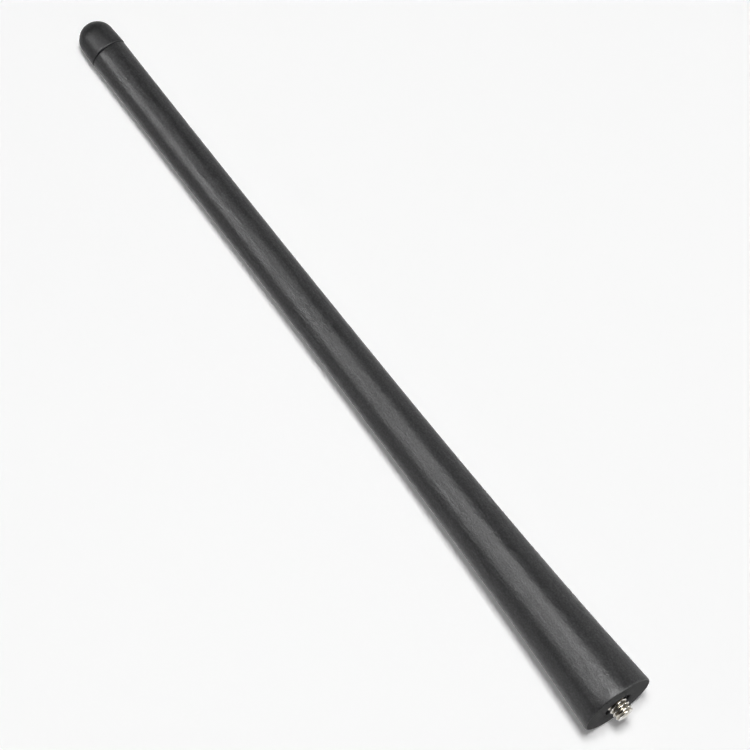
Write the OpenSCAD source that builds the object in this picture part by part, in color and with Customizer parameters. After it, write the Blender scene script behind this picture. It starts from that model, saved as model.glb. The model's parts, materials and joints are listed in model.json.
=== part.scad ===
// Car mast aerial: a short flexible mast that screws on to its base by a threaded stud.
// The mast lies along X with its stud towards +X, and the origin is the centre of its seat.
// Every piece is drawn upright, seat at z = 0 and tip upwards, and lay_down() turns it over.

/* [Sleeve] */
// Length of the moulded sleeve, from its seat to the joint with the tip cap
sleeve_len = 207.2; // [180:0.1:240]
// Diameter at the seat, before its rim is rounded
base_d = 18.85; // [17:0.05:22]
// Diameter at the top, under the tip cap
top_d = 9.35; // [9:0.05:11]
// How much of the flare belongs to the long taper, on the diameter
taper_gain = 4.15; // [2:0.05:6]
// How late the long taper sets in, where 1 is a straight cone
taper_power = 1.6; // [1:0.1:2.5]
// How late the skirt flares out, above the seat
skirt_power = 4; // [3:0.1:6]
// Radius of the rounded rim of the seat
rim_r = 0.4; // [0.2:0.05:1]
// Diameter of the shallow recess round the stud
recess_d = 7.2; // [6.8:0.1:8.5]
// Depth of that recess
recess_depth = 1; // [0.6:0.1:2]
// Thickness of the lip that holds the connector's collar in the sleeve
lip_t = 1.6; // [1:0.1:3]
// Rounding of the sleeve's top edge and the cap's lower edge, which shows as a fine groove
joint_round = 0.35; // [0.1:0.05:0.4]

/* [Connector] */
// Outside diameter of the threaded stud
stud_d = 5; // [4:0.1:6]
// How far the stud stands out beyond the seat
stud_out = 3.05; // [2:0.05:8]
// Chamfer at the stud's end
stud_chamfer = 0.4; // [0.2:0.05:0.8]
// Depth of the thread relief groove, which the lip fills
relief_cut = 0.45; // [0.2:0.05:0.8]
// Width of the hexagon collar across its flats
collar_af = 9; // [8:0.1:11]
// Thickness of the collar
collar_t = 4; // [2.5:0.1:6]
// Chamfer on the collar's corners
collar_chamfer = 0.5; // [0.3:0.1:0.8]
// Outside diameter of the barrel that is crimped on the rod
barrel_d = 7; // [6.4:0.1:8]
// Length of the barrel above its collar
barrel_len = 13.4; // [11:0.1:20]
// Depth of the rod's bore in the barrel
bore_depth = 11.4; // [7:0.1:13]
// Number of crimped grooves round the barrel
crimp_count = 2; // [1:1:2]
// Depth of each crimped groove
crimp_cut = 0.3; // [0.1:0.05:0.5]
// Width of each crimped groove
crimp_w = 1.6; // [0.8:0.1:2]
// Distance from the collar to the first crimped groove, and from one groove to the next
crimp_step = 2.6; // [2.2:0.1:3]
// Width of the slot that takes the wire's lower end
slot_w = 1.1; // [0.9:0.05:1.4]
// Depth of that slot
slot_depth = 2.2; // [1.4:0.1:3]

/* [Rod and winding] */
// Diameter of the glass fibre rod
rod_d = 3; // [2.6:0.1:3.2]
// Diameter of the copper wire
wire_d = 0.5; // [0.3:0.05:0.6]
// Turns of wire, which make a quarter wave of it at about 100 MHz
turns = 64; // [40:1:70]
// Gap left under the wire's lower end, in the slot
tail_lift = 0.2; // [0.1:0.05:0.4]
// Radius at which the wire bends from its lower end into the first turn
tail_bend_r = 0.8; // [0.6:0.1:1.2]
// Wall of the shrunk tube that covers the winding
cover_wall = 0.35; // [0.2:0.05:0.5]
// How far the shrunk tube reaches down over the barrel
cover_grip = 5; // [3:0.1:6]
// How far the shrunk tube necks down on the rod, above the winding
cover_neck = 3; // [2:0.1:4]
// How far the solder heaps up above the barrel
solder_heap = 0.4; // [0.2:0.05:0.6]

/* [Tip cap] */
// Diameter of the cap at the joint
cap_d = 9.6; // [9.4:0.05:11]
// Diameter of the cap's round end
dome_d = 9.12; // [8.6:0.02:9.4]
// Length of the cap's skirt, from the joint to the round end
cap_skirt = 4.93; // [3:0.01:8]
// Diameter of the spigot that seats in the sleeve
spigot_d = 6.5; // [6:0.1:6.9]
// Length of the spigot
spigot_len = 8; // [6:0.1:10]
// Height of the bead that holds the spigot
bead_h = 0.3; // [0.15:0.05:0.4]
// Half the width of that bead
bead_half_w = 0.7; // [0.5:0.1:1]
// Distance from the joint down to the middle of the bead
bead_drop = 4; // [2.5:0.1:5]
// How far the rod's top reaches up into the spigot
rod_reach = 4.5; // [3:0.1:5]

/* [Fits] */
// Gap between the sleeve and the pieces inside it
mould_gap = 0.03; // [0.02:0.01:0.06]
// Gap round the rod in the barrel and in the spigot
rod_gap = 0.03; // [0.02:0.01:0.06]
// Gap between the wire and the rod, and between the wire and its cover
wind_gap = 0.03; // [0.02:0.01:0.05]
// Gap between the cap's spigot and its socket
cap_gap = 0.04; // [0.02:0.01:0.06]

/* [Hidden] */
$fn = 96;

// How finely the curved outlines and the wire are drawn
outline_steps = 30;
arc_steps = 6;
steps_per_turn = 12;
wire_sides = 6;
bend_steps = 3;
// How far a cutting shape runs on past the surface it cuts
over = 1;

// Heights above the seat
collar_z = recess_depth + lip_t;
barrel_z = collar_z + collar_t;
barrel_top = barrel_z + barrel_len;
heap_top = barrel_top + solder_heap;
rod_z = barrel_top - bore_depth;
socket_z = sleeve_len - spigot_len - cap_gap;
rod_top = sleeve_len - spigot_len + rod_reach;
cover_top = socket_z - mould_gap;
neck_z = cover_top - cover_neck;
coil_z = heap_top + tail_bend_r + wire_d / 2;
coil_top = neck_z - wire_d;
tail_z = barrel_top - slot_depth + tail_lift;

// Radii of what lies in the sleeve
relief_r = stud_d / 2 - relief_cut;
skirt_gain = base_d - top_d - taper_gain;
coil_r = (rod_d / 2 + wind_gap + wire_d / 2) / cos(180 / steps_per_turn);
cover_bore_r = coil_r + wire_d / 2 + wind_gap;
cover_r = cover_bore_r + cover_wall;
grip_bore_r = barrel_d / 2 + mould_gap;
grip_r = grip_bore_r + cover_wall;
grip_z = barrel_top - cover_grip;
flare_z = heap_top + mould_gap;
flare_top = flare_z + grip_bore_r - cover_bore_r;
rod_hole_d = rod_d + 2 * rod_gap;
neck_r = rod_hole_d / 2 + cover_wall;
collar_corner_d = collar_af / cos(30);

// Radius of the sleeve's outside at a height above its seat: a long taper and a late skirt
function outline_r(z) =
    let (fall = 1 - z / sleeve_len)
    (top_d + taper_gain * pow(fall, taper_power) + skirt_gain * pow(fall, skirt_power)) / 2;

// Points of an arc round [r, z], from one angle to another
function arc(r, z, radius, from, to) =
    [for (i = [0:arc_steps]) let (a = from + (to - from) * i / arc_steps)
        [r + radius * cos(a), z + radius * sin(a)]];

// Turns a piece from upright to lying, its stud towards +X
module lay_down() {
    rotate([0, -90, 0]) children();
}

// A solid turned from its outline, given as points [radius, height]
module turned(points) {
    rotate_extrude() polygon(points);
}

// A cylinder from one height to another
module round_bar(d, from, to) {
    translate([0, 0, from]) cylinder(d = d, h = to - from);
}

// The hexagon collar, larger all round by a gap where it is the sleeve's pocket for it
module hexagon(gap) {
    corner_d = collar_corner_d + 2 * gap / cos(30);
    chamfer = collar_chamfer;
    low = collar_z - gap;
    high = barrel_z + gap;
    intersection() {
        translate([0, 0, low]) cylinder(d = corner_d, h = high - low, $fn = 6);
        turned([[0, low], [corner_d / 2 - chamfer, low], [corner_d / 2, low + chamfer],
            [corner_d / 2, high - chamfer], [corner_d / 2 - chamfer, high], [0, high]]);
    }
}

// Outside of the sleeve, with its rounded rim and top edge
module sleeve_outside() {
    rim_out = outline_r(rim_r);
    shoulder = sleeve_len - joint_round;
    wall = [for (i = [0:outline_steps]) let (z = rim_r + (shoulder - rim_r) * i / outline_steps)
        [outline_r(z), z]];
    top_out = outline_r(shoulder);
    rim = arc(rim_out - rim_r, rim_r, rim_r, -90, 0);
    top = arc(top_out - joint_round, shoulder, joint_round, 0, 90);
    turned(concat([[0, 0]], [for (i = [0:arc_steps - 1]) rim[i]], wall,
        [for (i = [1:arc_steps]) top[i]], [[0, sleeve_len]]));
}

// What the sleeve is moulded round: the relief groove, the barrel, the shrunk tube and the rod
module core_space() {
    grip_out = grip_r + mould_gap;
    tube_out = cover_r + mould_gap;
    neck_out = relief_r + mould_gap;
    turned([[0, recess_depth - over], [neck_out, recess_depth - over],
        [neck_out, barrel_z], [grip_bore_r, barrel_z],
        [grip_bore_r, grip_z - mould_gap], [grip_out, grip_z - mould_gap],
        [grip_out, flare_z + mould_gap], [tube_out, flare_top + mould_gap],
        [tube_out, socket_z + cap_gap], [0, socket_z + cap_gap]]);
}

// The socket for the tip cap's spigot, with the groove for its bead
module cap_socket() {
    spigot_shape(cap_gap, sleeve_len + over);
}

// The spigot and its rounded bead, larger all round by a gap where it is the socket
module spigot_shape(gap, top) {
    r = spigot_d / 2 + gap;
    foot = sleeve_len - spigot_len - gap;
    bead_z = sleeve_len - bead_drop;
    half_w = bead_half_w + gap;
    bead = [for (i = [0:2 * arc_steps]) let (a = -90 + 90 * i / arc_steps)
        [r + bead_h * cos(a), bead_z + half_w * sin(a)]];
    turned(concat([[0, foot], [r, foot]], bead, [[r, top], [0, top]]));
}

// The outer sleeve, one flexible moulding from the seat to the joint
module sleeve() {
    color([0.24, 0.24, 0.25]) lay_down() difference() {
        sleeve_outside();
        round_bar(recess_d, -over, recess_depth);
        core_space();
        hexagon(mould_gap);
        cap_socket();
    }
}

// The tip cap, with its spigot and the bore that centres the rod
module tip_cap() {
    dome_z = sleeve_len + cap_skirt;
    dome = [for (i = [0:3 * arc_steps]) let (a = 90 * i / (3 * arc_steps))
        [dome_d / 2 * cos(a), dome_z + dome_d / 2 * sin(a)]];
    edge = arc(cap_d / 2 - joint_round, sleeve_len + joint_round, joint_round, -90, 0);
    color([0.22, 0.22, 0.23]) lay_down() difference() {
        union() {
            spigot_shape(0, sleeve_len + joint_round);
            turned(concat([[0, sleeve_len]], edge, dome));
        }
        round_bar(rod_hole_d, sleeve_len - spigot_len - over, rod_top + rod_gap);
    }
}

// One groove crimped in the barrel, its sides sloping at 45 degrees
module crimp_groove(z) {
    r = barrel_d / 2;
    floor_w = crimp_w / 2 - crimp_cut;
    mouth_w = crimp_w / 2 + over;
    turned([[r - crimp_cut, z - floor_w], [r + over, z - mouth_w],
        [r + over, z + mouth_w], [r - crimp_cut, z + floor_w]]);
}

// The slot in the barrel's top, for the wire's lower end
module wire_slot(depth, above) {
    translate([0, -slot_w / 2, barrel_top - depth]) cube([barrel_d, slot_w, depth + above]);
}

// The connector, turned in one piece: stud, relief groove, hexagon collar and crimped barrel
module connector() {
    stud_r = stud_d / 2;
    color([0.78, 0.77, 0.74]) lay_down() difference() {
        union() {
            turned([[0, -stud_out], [stud_r - stud_chamfer, -stud_out],
                [stud_r, stud_chamfer - stud_out], [stud_r, recess_depth],
                [relief_r, recess_depth], [relief_r, collar_z + over], [0, collar_z + over]]);
            hexagon(0);
            round_bar(barrel_d, barrel_z - over, barrel_top);
        }
        round_bar(rod_hole_d, rod_z, barrel_top + over);
        for (i = [1:crimp_count]) crimp_groove(barrel_z + i * crimp_step);
        wire_slot(slot_depth, over);
    }
}

// The glass fibre rod, from the bottom of the barrel's bore up into the tip cap
module core_rod() {
    color([0.86, 0.83, 0.70]) lay_down() round_bar(rod_d, rod_z, rod_top);
}

// A point on the winding's cylinder, at an angle round it and a height
function on_coil(angle, z) = [coil_r * cos(angle), coil_r * sin(angle), z];

// The wire's path: straight up the slot, round a bend and along the helix
function wire_path() =
    let (bend_z = coil_z - tail_bend_r, bend_angle = tail_bend_r / coil_r * 180 / PI,
        pitch = (coil_top - coil_z) / turns)
    concat(
        [on_coil(0, tail_z)],
        [for (i = [0:bend_steps - 1]) let (a = 90 * i / bend_steps)
            on_coil(bend_angle * (1 - cos(a)), bend_z + tail_bend_r * sin(a))],
        [for (i = [0:turns * steps_per_turn])
            on_coil(bend_angle + 360 * i / steps_per_turn, coil_z + pitch * i / steps_per_turn)]);

function unit(v) = v / norm(v);

// The ring of points round the wire at one place on its path
function wire_ring(path, i) =
    let (last = len(path) - 1, here = path[i],
        along = unit(path[min(i + 1, last)] - path[max(i - 1, 0)]),
        out = unit([here[0], here[1], 0]),
        side = unit(cross(along, out)), up = cross(side, along))
    [for (k = [0:wire_sides - 1]) let (a = 360 * k / wire_sides)
        here + wire_d / 2 * (up * cos(a) + side * sin(a))];

// The copper wire, wound along the rod as an open helix
module radiator_coil() {
    path = wire_path();
    last = len(path) - 1;
    n = wire_sides;
    points = [for (i = [0:last]) each wire_ring(path, i)];
    bottom = [[for (k = [0:n - 1]) n - 1 - k]];
    top = [[for (k = [0:n - 1]) last * n + k]];
    walls = [for (i = [0:last - 1], k = [0:n - 1])
        let (a = i * n + k, b = i * n + (k + 1) % n)
        each [[a, b, b + n], [a, b + n, a + n]]];
    color([0.72, 0.42, 0.22]) lay_down() polyhedron(points, concat(bottom, walls, top));
}

// The shrunk tube: wide over the barrel, close over the winding and necked down on the rod
module coil_cover() {
    color([0.10, 0.10, 0.11]) lay_down() difference() {
        turned([[0, grip_z], [grip_r, grip_z], [grip_r, flare_z], [cover_r, flare_top],
            [cover_r, neck_z], [neck_r, neck_z + cover_neck / 2],
            [neck_r, cover_top], [0, cover_top]]);
        turned([[0, grip_z - over], [grip_bore_r, grip_z - over], [grip_bore_r, flare_z],
            [cover_bore_r, flare_top], [cover_bore_r, neck_z],
            [rod_hole_d / 2, neck_z + cover_neck / 2], [rod_hole_d / 2, cover_top + over],
            [0, cover_top + over]]);
    }
}

// The solder that fills the slot round the wire's lower end
module solder_joint() {
    color([0.62, 0.63, 0.64]) lay_down() difference() {
        intersection() {
            wire_slot(slot_depth, solder_heap);
            round_bar(barrel_d, barrel_top - slot_depth, heap_top);
        }
        round_bar(rod_hole_d, barrel_top - slot_depth - over, heap_top + over);
        translate([coil_r, 0, 0]) round_bar(wire_d, tail_z, heap_top + over);
    }
}

sleeve();
tip_cap();
connector();
core_rod();
radiator_coil();
coil_cover();
solder_joint();
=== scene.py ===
"""The look of a car mast aerial that lies on a pale table: its pieces, finishes, lights and camera."""

import json
import math

import bpy
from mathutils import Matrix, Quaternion, Vector


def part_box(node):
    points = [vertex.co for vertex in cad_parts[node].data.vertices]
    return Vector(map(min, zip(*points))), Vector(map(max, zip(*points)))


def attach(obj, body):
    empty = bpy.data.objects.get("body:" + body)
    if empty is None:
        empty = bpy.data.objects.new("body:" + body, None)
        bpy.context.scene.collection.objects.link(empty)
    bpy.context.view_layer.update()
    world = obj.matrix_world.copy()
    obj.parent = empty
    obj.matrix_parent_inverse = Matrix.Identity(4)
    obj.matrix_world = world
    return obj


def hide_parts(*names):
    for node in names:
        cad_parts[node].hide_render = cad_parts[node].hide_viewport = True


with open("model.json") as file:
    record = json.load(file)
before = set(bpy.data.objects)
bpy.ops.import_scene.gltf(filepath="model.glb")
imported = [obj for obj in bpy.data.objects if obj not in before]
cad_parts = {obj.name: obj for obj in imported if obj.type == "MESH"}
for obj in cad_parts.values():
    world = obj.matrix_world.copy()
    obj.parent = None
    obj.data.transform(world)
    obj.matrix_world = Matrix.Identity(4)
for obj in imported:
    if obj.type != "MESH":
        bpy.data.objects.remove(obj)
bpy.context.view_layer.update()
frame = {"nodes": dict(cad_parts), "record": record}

MM = 0.001

# Heights are measured from the seat up the mast, which lies along X with its tip towards -X.
# What the frame says about the pieces
SLEEVE_LEN = -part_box("sleeve")[0].x
CAP_TIP = -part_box("tip_cap")[0].x
CAP_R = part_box("tip_cap")[1].z
SPIGOT_FOOT = -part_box("tip_cap")[1].x
STUD_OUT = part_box("connector")[1].x
BARREL_TOP = -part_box("connector")[0].x
ROD_TOP = -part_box("core_rod")[0].x
ROD_FOOT = -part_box("core_rod")[1].x
ROD_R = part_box("core_rod")[1].z
COVER_FOOT = -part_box("coil_cover")[1].x
GRIP_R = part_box("coil_cover")[1].z
STUD_R = frame["record"]["mounts"][0]["dims"]["r_mm"] * MM

# Sleeve outline
TOP_R = 4.675 * MM
TAPER_GAIN = 2.075 * MM
SKIRT_GAIN = 2.675 * MM
TAPER_POWER = 1.6
SKIRT_POWER = 4
RIM_ROUND = 0.4 * MM
RECESS_R = 3.6 * MM
RECESS_DEPTH = 1.0 * MM
RECESS_ROUND = 0.15 * MM
JOINT_ROUND = 0.35 * MM
# Stud, with its coned lead-in and its slightly dished end
LEAD_LEN = 0.85 * MM
LEAD_R = 2.05 * MM
LEAD_EDGE = 0.05 * MM
DISH_R = 1.75 * MM
DISH_SLOPE = 14
# The dish starts 2 degrees off the axis, because its first ring needs a radius
DISH_START = 88
THREAD_PITCH = 1.0 * MM
THREAD_DEPTH = 0.5 * MM
THREAD_SET_BACK = 0.3 * MM
SPARE_TURNS = 2
# One pitch of the thread, from root to root, as share of the pitch and depth under the crest
THREAD_FORM = (
    (0.11, THREAD_DEPTH), (0.36, 0.10 * MM), (0.42, 0.03 * MM), (0.48, 0), (0.52, 0),
    (0.58, 0.03 * MM), (0.64, 0.10 * MM), (0.89, THREAD_DEPTH), (1, THREAD_DEPTH),
)
# The thread runs out where the stud enters the sleeve
RUN_OUT_START = RECESS_DEPTH - 0.3 * MM
RUN_OUT_END = RECESS_DEPTH + 0.2 * MM
THREAD_CORE_END = RECESS_DEPTH + 0.5 * MM
THREAD_CORE_R = 1.9 * MM
# Rest of the connector
RELIEF_FOOT = RECESS_DEPTH - 0.15 * MM
RELIEF_R = 2.05 * MM
COLLAR_FOOT = 2.6 * MM
COLLAR_TOP = 6.6 * MM
COLLAR_ACROSS_FLATS = 9.0 * MM
COLLAR_CHAMFER = 0.5 * MM
# The barrel starts inside the collar, where it can't be seen
BARREL_FOOT = COLLAR_FOOT + 1 * MM
BARREL_R = 3.5 * MM
CRIMPS = 2
CRIMP_STEP = 2.6 * MM
CRIMP_DEPTH = 0.3 * MM
CRIMP_HALF_W = 0.8 * MM
SLOT_W = 1.1 * MM
SLOT_DEPTH = 2.2 * MM
# Tip cap
DOME_R = 4.56 * MM
SPIGOT_R = 3.25 * MM
BEAD_HEIGHT = 0.3 * MM
BEAD_HALF_W = 0.7 * MM
BEAD_DROP = 4.0 * MM
# Fits between the pieces
GAP = 0.03 * MM
SOCKET_GAP = 0.04 * MM
# Shrunk tube over the winding, and the cone where it closes in above the barrel
TUBE_WALL = 0.35 * MM
TUBE_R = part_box("radiator_coil")[1].z + GAP + TUBE_WALL
TUBE_FLARE_FOOT = BARREL_TOP + 0.43 * MM
TUBE_FLARE_TOP = TUBE_FLARE_FOOT + GRIP_R - TUBE_R

# Sides round the mast and round the connector, and steps along each curve of an outline
SIDES = 160
THREAD_SIDES = 72
FLARE_STEPS = 96
DOME_STEPS = 32
BEAD_STEPS = 12
RIM_STEPS = 8
DISH_STEPS = 8
JOINT_STEPS = 6
RECESS_STEPS = 4
# Corners sharper than this many degrees stay crisp
MOULDED_CORNER = 32
TURNED_CORNER = 35
# Points closer than these are one point
SAME_POINT = 0.001 * MM
SAME_POINT_IN_THREAD = 0.002 * MM
# Shorter edges than this are slivers that a cut left behind
SLIVER = 0.0015 * MM

# Colours of each finish, in its dark spots and its light ones
SLEEVE_DARK = (0.012, 0.012, 0.013)
SLEEVE_LIGHT = (0.028, 0.028, 0.029)
CAP_DARK = (0.011, 0.011, 0.012)
CAP_LIGHT = (0.020, 0.020, 0.021)
# The end face's colour, darker than the sleeve's, is painted shade
SEAT_SHADE_COLOUR = (0.008, 0.008, 0.008)
RESIN_DARK = (0.58, 0.52, 0.34)
RESIN_LIGHT = (0.78, 0.74, 0.58)
COPPER_DARK = (0.50, 0.19, 0.07)
COPPER_LIGHT = (0.70, 0.30, 0.12)
TUBE_DARK = (0.012, 0.012, 0.013)
TUBE_LIGHT = (0.028, 0.028, 0.030)
SOLDER_DARK = (0.46, 0.47, 0.48)
SOLDER_LIGHT = (0.66, 0.67, 0.68)
# Nickel plate from the thread's roots, at 0, to its crests and the stud's end, at 1: painted darker in the
# roots as shade, and lighter on the crests and the end as a painted highlight
NICKEL_WITH_PAINTED_LIGHT = (
    (0.0, (0.34, 0.31, 0.25)), (0.55, (0.48, 0.45, 0.39)),
    (0.85, (0.62, 0.60, 0.56)), (1.0, (0.74, 0.72, 0.68)),
)
# Along X, where the plate is painted lighter near the stud's end, as a painted highlight
PAINTED_GLINT_END = (STUD_OUT - 0.22 * MM, STUD_OUT - 0.08 * MM)

# Where most values of a noise pattern lie
NOISE_SPAN = (0.3, 0.7)
# Rubber: a fine grain with pale specks, and streaks and clouds that are longer along the mast
GRAIN_W = 0.45 * MM
GRAIN_STOPS = (0.42, 0.56, 0.68)
SPECK_GAIN = 1.5
STREAK_W = 1.3 * MM
STREAK_STRETCH = (0.35, 1, 1)
STREAK_ROUGH = 0.06
# The streaks' height, as a multiple of the grain's
STREAK_HEIGHT = 1.6
CLOUD_W = 9 * MM
CLOUD_STRETCH = (0.25, 1, 1)
SEAT_ROUGH = 1.0
# Along X, where the dull seat, also painted darker as shade, begins
SEAT_EDGE = (-0.03 * MM, -0.005 * MM)
# Share of the shine that is left at the outline, and how far a surface turns away to lose the rest
OUTLINE_SHINE = 0.52
OUTLINE_FACING = (0.15, 0.45)

# Table and surroundings
WHITE = 0.95
TABLE_SIZE = 12
TABLE_DARK = (0.93, 0.93, 0.93)
TABLE_LIGHT = (0.95, 0.95, 0.95)
TABLE_MOTTLE = 0.4
TABLE_ROUGH = 0.9
TABLE_GLOW = 0.19
# How far from the middle of the mast the table turns into plain white
TABLE_FADE = (0.3, 0.7)
# Plain light from all round, and what gloss sees of the sky above the lamps
AMBIENT = 0.04
GLOSS_LEVEL = 0.0
# The sky's height where white turns dark in gloss
HORIZON = (0.0, 0.05)

CAMERA_AZIMUTH = 54.03
CAMERA_ELEVATION = 68.95
CAMERA_ROLL = -0.196
CAMERA_LENS = 195.15
CAMERA_SENSOR = 36
CAMERA_CLIP = (0.05, 50)
CAMERA_PLACE = (0.18363, -0.20271, 0.90965)

# The mix node's sockets for its first value, its second and its result
MIX_SOCKETS = {"FLOAT": (2, 3, 0), "RGBA": (6, 7, 2)}


def sleeve_radius(height):
    """Outside radius of the sleeve: a long taper and a skirt that flares late."""
    fall = 1 - height / SLEEVE_LEN
    return TOP_R + TAPER_GAIN * fall**TAPER_POWER + SKIRT_GAIN * fall**SKIRT_POWER


def arc(height, radius, size, start, end, steps):
    """Outline points on an arc: 0 degrees points outwards and 90 degrees up the mast."""
    turns = [math.radians(start + (end - start) * i / steps) for i in range(steps + 1)]
    return [(height + size * math.sin(a), radius + size * math.cos(a)) for a in turns]


def close_up(same_point):
    """In edit mode: merges doubled points, closes open ends and turns all faces outwards."""
    bpy.ops.mesh.select_all(action="SELECT")
    bpy.ops.mesh.remove_doubles(threshold=same_point)
    bpy.ops.mesh.fill_holes(sides=0)
    bpy.ops.mesh.select_all(action="SELECT")
    bpy.ops.mesh.normals_make_consistent(inside=False)


def turned(name, outline, sides=SIDES):
    """A closed piece extruded ring by ring about X, from outline points of height and radius."""
    height, radius = outline[0]
    bpy.ops.object.select_all(action="DESELECT")
    bpy.ops.mesh.primitive_circle_add(
        vertices=sides, radius=radius, location=(-height, 0, 0), rotation=(0, math.pi / 2, 0)
    )
    piece = bpy.context.object
    piece.name = piece.data.name = name
    bpy.ops.object.transform_apply(location=True, rotation=True, scale=True)
    bpy.ops.object.mode_set(mode="EDIT")
    bpy.ops.mesh.select_all(action="SELECT")
    for next_height, next_radius in outline[1:]:
        bpy.ops.mesh.extrude_region_move(
            TRANSFORM_OT_translate={"value": (height - next_height, 0, 0)}
        )
        if next_radius > 0:
            grow = next_radius / radius
            bpy.ops.transform.resize(value=(1, grow, grow), center_override=(-next_height, 0, 0))
        else:
            bpy.ops.mesh.merge(type="CENTER")
        height, radius = next_height, next_radius
    close_up(SAME_POINT)
    bpy.ops.object.mode_set(mode="OBJECT")
    return piece


def combine(piece, other, operation):
    """Joins, cuts or keeps the overlap of two solids, and removes the second one."""
    cut = piece.modifiers.new("fit", "BOOLEAN")
    cut.operation = operation
    cut.solver = "EXACT"
    cut.object = other
    bpy.ops.object.select_all(action="DESELECT")
    bpy.context.view_layer.objects.active = piece
    piece.select_set(True)
    bpy.ops.object.modifier_apply(modifier=cut.name)
    bpy.data.objects.remove(other)
    bpy.ops.object.mode_set(mode="EDIT")
    bpy.ops.mesh.select_all(action="SELECT")
    bpy.ops.mesh.remove_doubles(threshold=SLIVER)
    bpy.ops.mesh.dissolve_degenerate(threshold=SLIVER)
    bpy.ops.object.mode_set(mode="OBJECT")
    return piece


def hexagon(name, low, high, across):
    """The hexagon collar's solid, its corners chamfered, with a corner upwards."""
    corner = across / math.sqrt(3)
    bpy.ops.object.select_all(action="DESELECT")
    bpy.ops.mesh.primitive_cylinder_add(
        vertices=6, radius=corner, depth=high - low,
        location=(-(low + high) / 2, 0, 0), rotation=(0, math.pi / 2, 0),
    )
    piece = bpy.context.object
    piece.name = piece.data.name = name
    bpy.ops.transform.rotate(value=math.radians(30), orient_axis="X", center_override=(0, 0, 0))
    bpy.ops.object.transform_apply(location=True, rotation=True, scale=True)
    over = 0.1 * MM
    end_r = corner - COLLAR_CHAMFER - over
    clear_r = corner + 0.2 * over
    body = turned(name + "_turned", [
        (low - over, end_r), (low + COLLAR_CHAMFER, clear_r),
        (high - COLLAR_CHAMFER, clear_r), (high + over, end_r),
    ])
    return combine(piece, body, "INTERSECT")


def smooth(piece, corner):
    """Shades a piece smooth, with the corners sharper than this many degrees kept crisp."""
    bpy.ops.object.select_all(action="DESELECT")
    bpy.context.view_layer.objects.active = piece
    piece.select_set(True)
    bpy.ops.object.shade_smooth_by_angle(angle=math.radians(corner))
    return piece


def spigot_outline(gap):
    """Outline of the cap's spigot from its foot up to the joint, with the bead that holds it."""
    r = SPIGOT_R + gap
    bead_height = SLEEVE_LEN - BEAD_DROP
    half_w = BEAD_HALF_W + gap
    turns = [math.radians(-90 + 180 * i / BEAD_STEPS) for i in range(BEAD_STEPS + 1)]
    bead = [(bead_height + half_w * math.sin(a), r + BEAD_HEIGHT * math.cos(a)) for a in turns]
    return [(SPIGOT_FOOT - gap, r)] + bead + [(SLEEVE_LEN, r)]


def sleeve_inside():
    """Outline of the sleeve's hollow from the joint down: spigot, tube, barrel, lip and recess."""
    tube_r = TUBE_R + GAP
    grip_r = GRIP_R + GAP
    barrel_r = BARREL_R + GAP
    lip_r = RELIEF_R + GAP
    return list(reversed(spigot_outline(SOCKET_GAP))) + [
        (SPIGOT_FOOT - SOCKET_GAP, tube_r), (TUBE_FLARE_TOP + GAP, tube_r),
        (TUBE_FLARE_FOOT + GAP, grip_r), (COVER_FOOT - GAP, grip_r),
        (COVER_FOOT - GAP, barrel_r), (COLLAR_TOP, barrel_r),
        (COLLAR_TOP, lip_r), (RECESS_DEPTH, lip_r),
        (RECESS_DEPTH, RECESS_R), (RECESS_ROUND, RECESS_R),
    ]


def make_sleeve():
    """The flexible moulding: flared outside, rounded rim, recess, and the space for what it holds."""
    shoulder = SLEEVE_LEN - JOINT_ROUND
    wall = [RIM_ROUND + (shoulder - RIM_ROUND) * i / FLARE_STEPS for i in range(1, FLARE_STEPS)]
    outside = (
        arc(RECESS_ROUND, RECESS_R + RECESS_ROUND, RECESS_ROUND, -180, -90, RECESS_STEPS)
        + arc(RIM_ROUND, sleeve_radius(RIM_ROUND) - RIM_ROUND, RIM_ROUND, -90, 0, RIM_STEPS)
        + [(h, sleeve_radius(h)) for h in wall]
        + arc(shoulder, sleeve_radius(shoulder) - JOINT_ROUND, JOINT_ROUND, 0, 90, JOINT_STEPS)
    )
    sleeve = turned("sleeve_moulding", outside + sleeve_inside())
    pocket = hexagon("pocket", COLLAR_FOOT - GAP, COLLAR_TOP + GAP, COLLAR_ACROSS_FLATS + 2 * GAP)
    return smooth(combine(sleeve, pocket, "DIFFERENCE"), MOULDED_CORNER)


def make_tip_cap():
    """The round cap, its skirt a little wider at the joint, with its spigot and the rod's bore."""
    bore_r = ROD_R + GAP
    skirt = arc(SLEEVE_LEN + JOINT_ROUND, CAP_R - JOINT_ROUND, JOINT_ROUND, -90, 0, JOINT_STEPS)
    dome = arc(CAP_TIP - DOME_R, 0, DOME_R, 0, 90, DOME_STEPS)
    bore = [(ROD_TOP + GAP, bore_r), (SPIGOT_FOOT, bore_r)]
    outline = bore + spigot_outline(0) + skirt + dome[:-1] + [(CAP_TIP, 0)]
    return smooth(turned("tip_cap_moulding", outline), MOULDED_CORNER)


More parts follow.
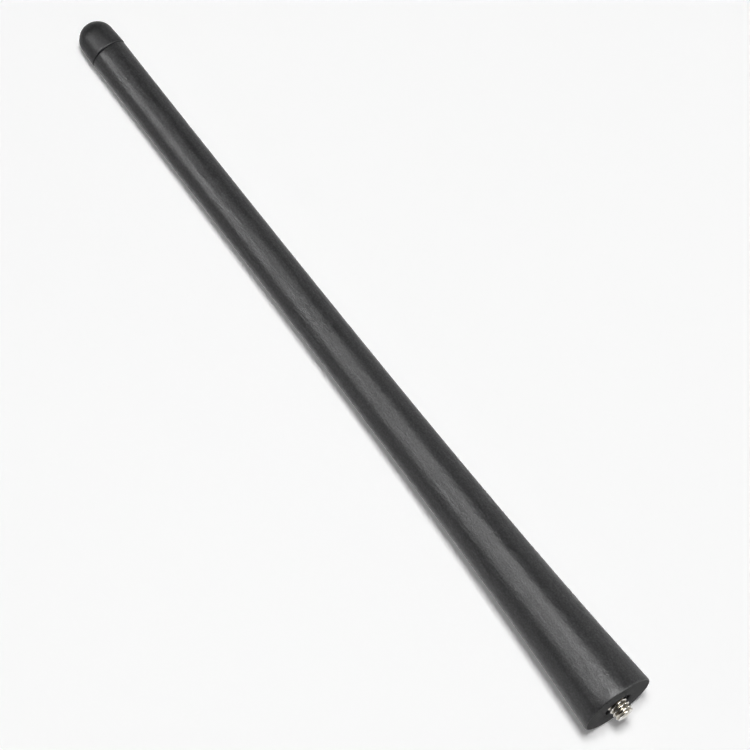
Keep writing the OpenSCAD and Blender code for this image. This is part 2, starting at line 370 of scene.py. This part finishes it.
def screwed_form():
    """One pitch of the thread's form, screwed along the stud with turns to spare at both ends."""
    radius = STUD_R - THREAD_DEPTH
    start = -RECESS_DEPTH - THREAD_SET_BACK - SPARE_TURNS * THREAD_PITCH
    bpy.ops.object.select_all(action="DESELECT")
    bpy.ops.mesh.primitive_plane_add(size=THREAD_PITCH, location=(start, 0, radius))
    piece = bpy.context.object
    piece.name = piece.data.name = "thread"
    bpy.ops.object.transform_apply(location=True, rotation=True, scale=True)
    bpy.ops.object.mode_set(mode="EDIT")
    bpy.ops.mesh.select_all(action="SELECT")
    bpy.ops.mesh.merge(type="CENTER")
    along = 0
    for share, depth in THREAD_FORM:
        step = (share - along) * THREAD_PITCH
        bpy.ops.mesh.extrude_region_move(
            TRANSFORM_OT_translate={"value": (step, 0, STUD_R - depth - radius)}
        )
        along, radius = share, STUD_R - depth
    bpy.ops.object.mode_set(mode="OBJECT")
    screw = piece.modifiers.new("screw", "SCREW")
    screw.axis = "X"
    screw.angle = 2 * math.pi
    screw.screw_offset = THREAD_PITCH
    screw.iterations = math.ceil((STUD_OUT + RECESS_DEPTH) / THREAD_PITCH) + 2 * SPARE_TURNS
    screw.steps = screw.render_steps = THREAD_SIDES
    screw.use_merge_vertices = True
    screw.merge_threshold = SAME_POINT
    bpy.ops.object.modifier_apply(modifier=screw.name)
    bpy.ops.object.mode_set(mode="EDIT")
    close_up(SAME_POINT_IN_THREAD)
    bpy.ops.object.mode_set(mode="OBJECT")
    return piece


def stud_outside():
    """What the thread is trimmed to: dished end, coned lead-in, and the run-out in the sleeve."""
    ball_r = DISH_R / math.sin(math.radians(DISH_SLOPE))
    ball_height = -STUD_OUT - ball_r * math.cos(math.radians(DISH_SLOPE))
    return turned("stud_outside", [
        *arc(ball_height, 0, ball_r, DISH_START, 90 - DISH_SLOPE, DISH_STEPS),
        (-STUD_OUT, LEAD_R - LEAD_EDGE), (LEAD_EDGE - STUD_OUT, LEAD_R), (LEAD_LEN - STUD_OUT, STUD_R),
        (RUN_OUT_START, STUD_R), (RUN_OUT_END, THREAD_CORE_R), (THREAD_CORE_END, THREAD_CORE_R),
    ], THREAD_SIDES)


def crimped_barrel():
    """The relief groove, and the barrel above it with its crimps and the rod's bore."""
    bore_r = ROD_R + GAP
    crimp_floor = CRIMP_HALF_W - CRIMP_DEPTH
    outline = [(RELIEF_FOOT, RELIEF_R), (BARREL_FOOT, RELIEF_R), (BARREL_FOOT, BARREL_R)]
    for number in range(1, CRIMPS + 1):
        middle = COLLAR_TOP + number * CRIMP_STEP
        outline += [
            (middle - CRIMP_HALF_W, BARREL_R), (middle - crimp_floor, BARREL_R - CRIMP_DEPTH),
            (middle + crimp_floor, BARREL_R - CRIMP_DEPTH), (middle + CRIMP_HALF_W, BARREL_R),
        ]
    outline += [(BARREL_TOP, BARREL_R), (BARREL_TOP, bore_r), (ROD_FOOT, bore_r)]
    return turned("connector_body", outline, THREAD_SIDES)


def solder_slot():
    """The slot across the barrel's top edge that takes the wire and the solder."""
    bpy.ops.object.select_all(action="DESELECT")
    bpy.ops.mesh.primitive_cube_add(
        size=1, location=(-BARREL_TOP, 0, BARREL_R), scale=(2 * SLOT_DEPTH, SLOT_W, 2 * BARREL_R)
    )
    bpy.ops.object.transform_apply(location=True, rotation=True, scale=True)
    return bpy.context.object


def make_connector():
    """The turned and plated connector: threaded stud, relief groove, hexagon collar and crimped barrel."""
    body = crimped_barrel()
    body = combine(body, hexagon("collar", COLLAR_FOOT, COLLAR_TOP, COLLAR_ACROSS_FLATS), "UNION")
    thread = combine(screwed_form(), stud_outside(), "INTERSECT")
    body = combine(body, thread, "UNION")
    body = combine(body, solder_slot(), "DIFFERENCE")
    body.name = body.data.name = "threaded_connector"
    return smooth(body, TURNED_CORNER)


def finish(name):
    """A new material with its nodes, its principled shader, and the pattern space of the object."""
    material = bpy.data.materials.new(name)
    material.use_nodes = True
    tree = material.node_tree
    shader = tree.nodes["Principled BSDF"]
    place = tree.nodes.new("ShaderNodeTexCoord").outputs["Object"]
    return material, tree, shader, place


def feed(tree, value, socket):
    """Links a pattern to a socket, or sets the socket to a plain number or colour."""
    if isinstance(value, bpy.types.NodeSocket):
        tree.links.new(value, socket)
    elif isinstance(value, tuple):
        socket.default_value = (*value, 1)
    else:
        socket.default_value = value


def worked(tree, operation, first, second):
    """The result of a sum, a product or the like of two values."""
    node = tree.nodes.new("ShaderNodeMath")
    node.operation = operation
    feed(tree, first, node.inputs[0])
    feed(tree, second, node.inputs[1])
    return node.outputs["Value"]


def mixed(tree, factor, first, second, kind="FLOAT"):
    """One number or colour where the factor is 0, and another where it is 1."""
    node = tree.nodes.new("ShaderNodeMix")
    node.data_type = kind
    first_socket, second_socket, result = MIX_SOCKETS[kind]
    feed(tree, factor, node.inputs[0])
    feed(tree, first, node.inputs[first_socket])
    feed(tree, second, node.inputs[second_socket])
    return node.outputs[result]


def stretched(tree, place, scale):
    """The object's coordinates in other units, such as coarser along the mast."""
    mapping = tree.nodes.new("ShaderNodeMapping")
    mapping.inputs["Scale"].default_value = scale
    feed(tree, place, mapping.inputs["Vector"])
    return mapping.outputs["Vector"]


def along_x(tree, place):
    """A place's X: towards the stud's end it rises, and up the mast it falls."""
    split = tree.nodes.new("ShaderNodeSeparateXYZ")
    feed(tree, place, split.inputs[0])
    return split.outputs["X"]


def distance(tree, place):
    """How far a place is from its own piece's origin."""
    node = tree.nodes.new("ShaderNodeVectorMath")
    node.operation = "LENGTH"
    feed(tree, place, node.inputs[0])
    return node.outputs["Value"]


def noise(tree, place, grain, detail=3.0, roughness=0.55):
    """A cloudy pattern whose spots are about as wide as grain, in metres."""
    node = tree.nodes.new("ShaderNodeTexNoise")
    node.inputs["Scale"].default_value = 1 / grain
    node.inputs["Detail"].default_value = detail
    node.inputs["Roughness"].default_value = roughness
    feed(tree, place, node.inputs["Vector"])
    return node.outputs["Fac"]


def ranged(tree, value, low, high, at=NOISE_SPAN):
    """A pattern's value, from one end of its range to another."""
    node = tree.nodes.new("ShaderNodeMapRange")
    node.inputs["From Min"].default_value, node.inputs["From Max"].default_value = at
    node.inputs["To Min"].default_value, node.inputs["To Max"].default_value = low, high
    feed(tree, value, node.inputs["Value"])
    return node.outputs["Result"]


def ramp(tree, value, stops):
    """Colours picked by a pattern's value, from (position, colour) stops."""
    node = tree.nodes.new("ShaderNodeValToRGB")
    elements = node.color_ramp.elements
    while len(elements) < len(stops):
        elements.new(0.5)
    for element, (position, colour) in zip(elements, stops):
        element.position = position
        element.color = (*colour, 1)
    feed(tree, value, node.inputs["Fac"])
    return node.outputs["Color"]


def spotted(tree, pattern, dark, light):
    """Two colours that follow a cloudy pattern's dark and light spots."""
    return ramp(tree, pattern, list(zip(NOISE_SPAN, (dark, light))))


def bumped(tree, shader, height, depth, under=None):
    """Raises the surface by a pattern, over another bump if one is given."""
    node = tree.nodes.new("ShaderNodeBump")
    node.inputs["Strength"].default_value = 1.0
    node.inputs["Distance"].default_value = depth
    feed(tree, height, node.inputs["Height"])
    if under is not None:
        feed(tree, under, node.inputs["Normal"])
    feed(tree, node.outputs["Normal"], shader.inputs["Normal"])
    return node.outputs["Normal"]


def rubber(name, dark, light, rough, shine, grain_depth):
    """Satin charcoal moulding: a fine grain, soft streaks along the mast, and a duller end face that is
    also painted darker, as shade.
    """
    material, tree, shader, place = finish(name)
    grain = noise(tree, place, GRAIN_W, detail=4.0, roughness=0.6)
    streaks = noise(tree, stretched(tree, place, STREAK_STRETCH), STREAK_W)
    clouds = noise(tree, stretched(tree, place, CLOUD_STRETCH), CLOUD_W, detail=2.0)
    at_seat = ranged(tree, along_x(tree, place), 0, 1, SEAT_EDGE)
    speck = tuple(SPECK_GAIN * part for part in light)
    colour = ramp(tree, grain, list(zip(GRAIN_STOPS, (dark, light, speck))))
    # On the end face the colour turns darker: painted shade
    feed(tree, mixed(tree, at_seat, colour, SEAT_SHADE_COLOUR, "RGBA"), shader.inputs["Base Color"])
    facing = tree.nodes.new("ShaderNodeLayerWeight").outputs["Facing"]
    side_shine = ranged(tree, facing, shine, OUTLINE_SHINE * shine, OUTLINE_FACING)
    feed(tree, mixed(tree, at_seat, side_shine, shine), shader.inputs["Specular IOR Level"])
    uneven = ranged(tree, streaks, STREAK_ROUGH, -STREAK_ROUGH)
    side_rough = worked(tree, "ADD", ranged(tree, clouds, *rough), uneven)
    feed(tree, mixed(tree, at_seat, side_rough, SEAT_ROUGH), shader.inputs["Roughness"])
    waves = bumped(tree, shader, streaks, STREAK_HEIGHT * grain_depth)
    bumped(tree, shader, grain, grain_depth, waves)
    return material


def plated_metal():
    """Nickel plate on turned brass: painted lighter on the crests and the end as a highlight, and dull and
    painted dark in the roots as shade.
    """
    material, tree, shader, place = finish("nickel_plate")
    from_axis = distance(tree, stretched(tree, place, (0, 1, 1)))
    crest = ranged(tree, from_axis, 0, 1, (STUD_R - THREAD_DEPTH, STUD_R))
    end = ranged(tree, along_x(tree, place), 0, 1, PAINTED_GLINT_END)
    # Painted highlight on the crests and the end, painted shade in the roots; the same share makes the
    # crests smoother
    painted_glint_and_polish = worked(tree, "MAXIMUM", crest, end)
    feed(tree, ramp(tree, painted_glint_and_polish, NICKEL_WITH_PAINTED_LIGHT), shader.inputs["Base Color"])
    shader.inputs["Metallic"].default_value = 1.0
    spots = ranged(tree, noise(tree, place, 0.3 * MM), -0.04, 0.04)
    rough = worked(tree, "ADD", ranged(tree, painted_glint_and_polish, 0.36, 0.18, (0, 1)), spots)
    feed(tree, rough, shader.inputs["Roughness"])
    tool_lines = noise(tree, stretched(tree, place, (12, 1, 1)), 0.6 * MM, detail=2.0)
    bumped(tree, shader, tool_lines, 0.004 * MM)
    return material


def glass_fibre():
    """Pale resin rod with its long fibres showing."""
    material, tree, shader, place = finish("glass_fibre_resin")
    fibres = noise(tree, stretched(tree, place, (0.03, 1, 1)), 0.25 * MM, detail=4.0)
    feed(tree, spotted(tree, fibres, RESIN_DARK, RESIN_LIGHT), shader.inputs["Base Color"])
    feed(tree, ranged(tree, fibres, 0.32, 0.5), shader.inputs["Roughness"])
    bumped(tree, shader, fibres, 0.01 * MM)
    return material


def lacquered_copper():
    """Winding wire under a clear amber lacquer."""
    material, tree, shader, place = finish("lacquered_copper")
    spots = noise(tree, place, 1.2 * MM)
    feed(tree, spotted(tree, spots, COPPER_DARK, COPPER_LIGHT), shader.inputs["Base Color"])
    shader.inputs["Metallic"].default_value = 1.0
    shader.inputs["Coat Weight"].default_value = 0.6
    feed(tree, ranged(tree, spots, 0.22, 0.34), shader.inputs["Roughness"])
    bumped(tree, shader, spots, 0.004 * MM)
    return material


def shrunk_plastic():
    """Matt black shrunk tube with a faint wrinkle round it."""
    material, tree, shader, place = finish("shrunk_tube_plastic")
    wrinkles = noise(tree, stretched(tree, place, (1, 0.3, 0.3)), 1.5 * MM)
    feed(tree, spotted(tree, wrinkles, TUBE_DARK, TUBE_LIGHT), shader.inputs["Base Color"])
    feed(tree, ranged(tree, wrinkles, 0.45, 0.62), shader.inputs["Roughness"])
    bumped(tree, shader, wrinkles, 0.03 * MM)
    return material


def tin_solder():
    """Dull tin solder, a little grainy."""
    material, tree, shader, place = finish("tin_solder")
    grains = noise(tree, place, 0.15 * MM)
    feed(tree, spotted(tree, grains, SOLDER_DARK, SOLDER_LIGHT), shader.inputs["Base Color"])
    shader.inputs["Metallic"].default_value = 1.0
    feed(tree, ranged(tree, grains, 0.30, 0.48), shader.inputs["Roughness"])
    bumped(tree, shader, grains, 0.008 * MM)
    return material


def dress(piece, material):
    """Gives a piece or a carried-over node its finish."""
    piece.data.materials.clear()
    piece.data.materials.append(material)


def straight_rays(tree, rays):
    """1 for what the camera sees straight or through something clear, and 0 for the rest."""
    return worked(tree, "MAXIMUM", rays.outputs["Is Camera Ray"], rays.outputs["Is Transmission Ray"])


def seen_rays(tree):
    """1 for what the camera sees, straight, through something clear or in gloss, and 0 for plain light."""
    rays = tree.nodes.new("ShaderNodeLightPath")
    return worked(tree, "MAXIMUM", straight_rays(tree, rays), rays.outputs["Is Glossy Ray"])


def white_table():
    """Pale table round the mast that turns into an even white farther out."""
    material, tree, shader, place = finish("white_table")
    mottle = noise(tree, place, TABLE_MOTTLE)
    feed(tree, spotted(tree, mottle, TABLE_DARK, TABLE_LIGHT), shader.inputs["Base Color"])
    shader.inputs["Roughness"].default_value = TABLE_ROUGH
    shader.inputs["Specular IOR Level"].default_value = 0
    shader.inputs["Emission Color"].default_value = (1, 1, 1, 1)
    seen = seen_rays(tree)
    feed(tree, worked(tree, "MULTIPLY", seen, TABLE_GLOW), shader.inputs["Emission Strength"])
    plain = tree.nodes.new("ShaderNodeEmission")
    feed(tree, worked(tree, "MULTIPLY", seen, WHITE), plain.inputs["Strength"])
    blend = tree.nodes.new("ShaderNodeMixShader")
    feed(tree, ranged(tree, distance(tree, place), 0, 1, TABLE_FADE), blend.inputs[0])
    feed(tree, shader.outputs[0], blend.inputs[1])
    feed(tree, plain.outputs[0], blend.inputs[2])
    feed(tree, blend.outputs[0], tree.nodes["Material Output"].inputs["Surface"])
    return material


def table_top():
    """Pale table that touches the rim of the seat and the cap's skirt, so it leans by a degree."""
    foot = Vector((-RIM_ROUND, 0, -sleeve_radius(RIM_ROUND)))
    top = Vector((-SLEEVE_LEN - JOINT_ROUND, 0, -CAP_R))
    lean = math.atan2(top.z - foot.z, foot.x - top.x)
    bpy.ops.object.select_all(action="DESELECT")
    bpy.ops.mesh.primitive_plane_add(
        size=TABLE_SIZE, location=(foot + top) / 2, rotation=(0, lean, 0)
    )
    table = bpy.context.object
    table.name = table.data.name = "table_top"
    dress(table, white_table())


def soft_box(name, angle, along, width, length, level, in_gloss=True, away=1.0, ahead=0):
    """A lamp at an angle from overhead towards +Y, or ahead towards +X, for gloss or for plain light."""
    lamp = bpy.data.lights.new(name, "AREA")
    lamp.shape = "RECTANGLE"
    lamp.size, lamp.size_y = length, width
    lamp.energy = level * math.pi * width * length
    holder = bpy.data.objects.new(name, lamp)
    bpy.context.scene.collection.objects.link(holder)
    lean, tip = math.radians(angle), math.radians(ahead)
    rise = away * math.cos(tip)
    holder.location = (along + away * math.sin(tip), rise * math.sin(lean), rise * math.cos(lean))
    holder.rotation_euler = (-lean, tip, 0)
    holder.visible_glossy = in_gloss
    holder.visible_diffuse = not in_gloss


def surroundings():
    """White for the camera and low in gloss, dark above the lamps, and a faint level of light all round."""
    world = bpy.data.worlds.new("studio")
    bpy.context.scene.world = world
    world.use_nodes = True
    tree = world.node_tree
    tree.nodes.clear()
    sky = tree.nodes.new("ShaderNodeSeparateXYZ")
    feed(tree, tree.nodes.new("ShaderNodeTexCoord").outputs["Generated"], sky.inputs[0])
    in_gloss = ranged(tree, sky.outputs["Z"], WHITE, GLOSS_LEVEL, HORIZON)
    rays = tree.nodes.new("ShaderNodeLightPath")
    strength = mixed(tree, rays.outputs["Is Glossy Ray"], AMBIENT, in_gloss)
    strength = mixed(tree, straight_rays(tree, rays), strength, WHITE)
    background = tree.nodes.new("ShaderNodeBackground")
    background.inputs["Color"].default_value = (1, 1, 1, 1)
    feed(tree, strength, background.inputs["Strength"])
    out = tree.nodes.new("ShaderNodeOutputWorld")
    feed(tree, background.outputs["Background"], out.inputs["Surface"])


def camera():
    """The photograph's long lens, looking down on the mast from beyond its seat."""
    data = bpy.data.cameras.new("camera")
    data.lens, data.sensor_width = CAMERA_LENS, CAMERA_SENSOR
    data.clip_start, data.clip_end = CAMERA_CLIP
    holder = bpy.data.objects.new("camera", data)
    bpy.context.scene.collection.objects.link(holder)
    a, e = math.radians(CAMERA_AZIMUTH), math.radians(CAMERA_ELEVATION)
    back = Vector((math.sin(a) * math.cos(e), -math.cos(a) * math.cos(e), math.sin(e)))
    holder.rotation_mode = "QUATERNION"
    roll = Quaternion((0, 0, 1), math.radians(CAMERA_ROLL))
    holder.rotation_quaternion = (-back).to_track_quat("-Z", "Y") @ roll
    holder.location = CAMERA_PLACE
    bpy.context.scene.camera = holder


bpy.context.scene.view_settings.view_transform = "Standard"

sleeve = make_sleeve()
tip_cap = make_tip_cap()
connector = make_connector()
sleeve_rubber = rubber(
    "sleeve_rubber", SLEEVE_DARK, SLEEVE_LIGHT, rough=(0.36, 0.44), shine=0.62, grain_depth=0.050 * MM
)
cap_rubber = rubber(
    "cap_rubber", CAP_DARK, CAP_LIGHT, rough=(0.43, 0.49), shine=0.55, grain_depth=0.035 * MM
)
dress(sleeve, sleeve_rubber)
dress(tip_cap, cap_rubber)
dress(connector, plated_metal())
dress(frame["nodes"]["core_rod"], glass_fibre())
dress(frame["nodes"]["radiator_coil"], lacquered_copper())
dress(frame["nodes"]["coil_cover"], shrunk_plastic())
dress(frame["nodes"]["solder_joint"], tin_solder())

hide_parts("sleeve")
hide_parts("tip_cap")
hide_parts("connector")
for piece in (sleeve, tip_cap, connector):
    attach(piece, "root")

table_top()
surroundings()
# Plain light
soft_box("key_box", 1.0, along=0, width=0.40, length=0.60, level=41.5, in_gloss=False, away=2.0)
# The long highlight along the mast
soft_box("far_side_box", -54.8, along=-0.759, width=0.369, length=0.096, level=31.0)
soft_box("side_box", -31.0, along=-0.480, width=0.346, length=0.057, level=38.0)
soft_box("middle_box", -39.0, along=-0.39, width=0.08, length=0.11, level=20.0)
soft_box("overhead_box", 1.5, along=-0.072, width=0.414, length=0.160, level=37.5)
# A faint sheen on the side towards +Y
soft_box("low_fill", 74, along=-0.5, width=0.60, length=2.0, level=0.70)
# The seat's end face and its corner
soft_box("seat_box", 24, along=0, width=0.5, length=0.6, level=8.5, ahead=42)
soft_box("corner_box", 84, along=0, width=0.3, length=0.3, level=9.0, ahead=26)
camera()
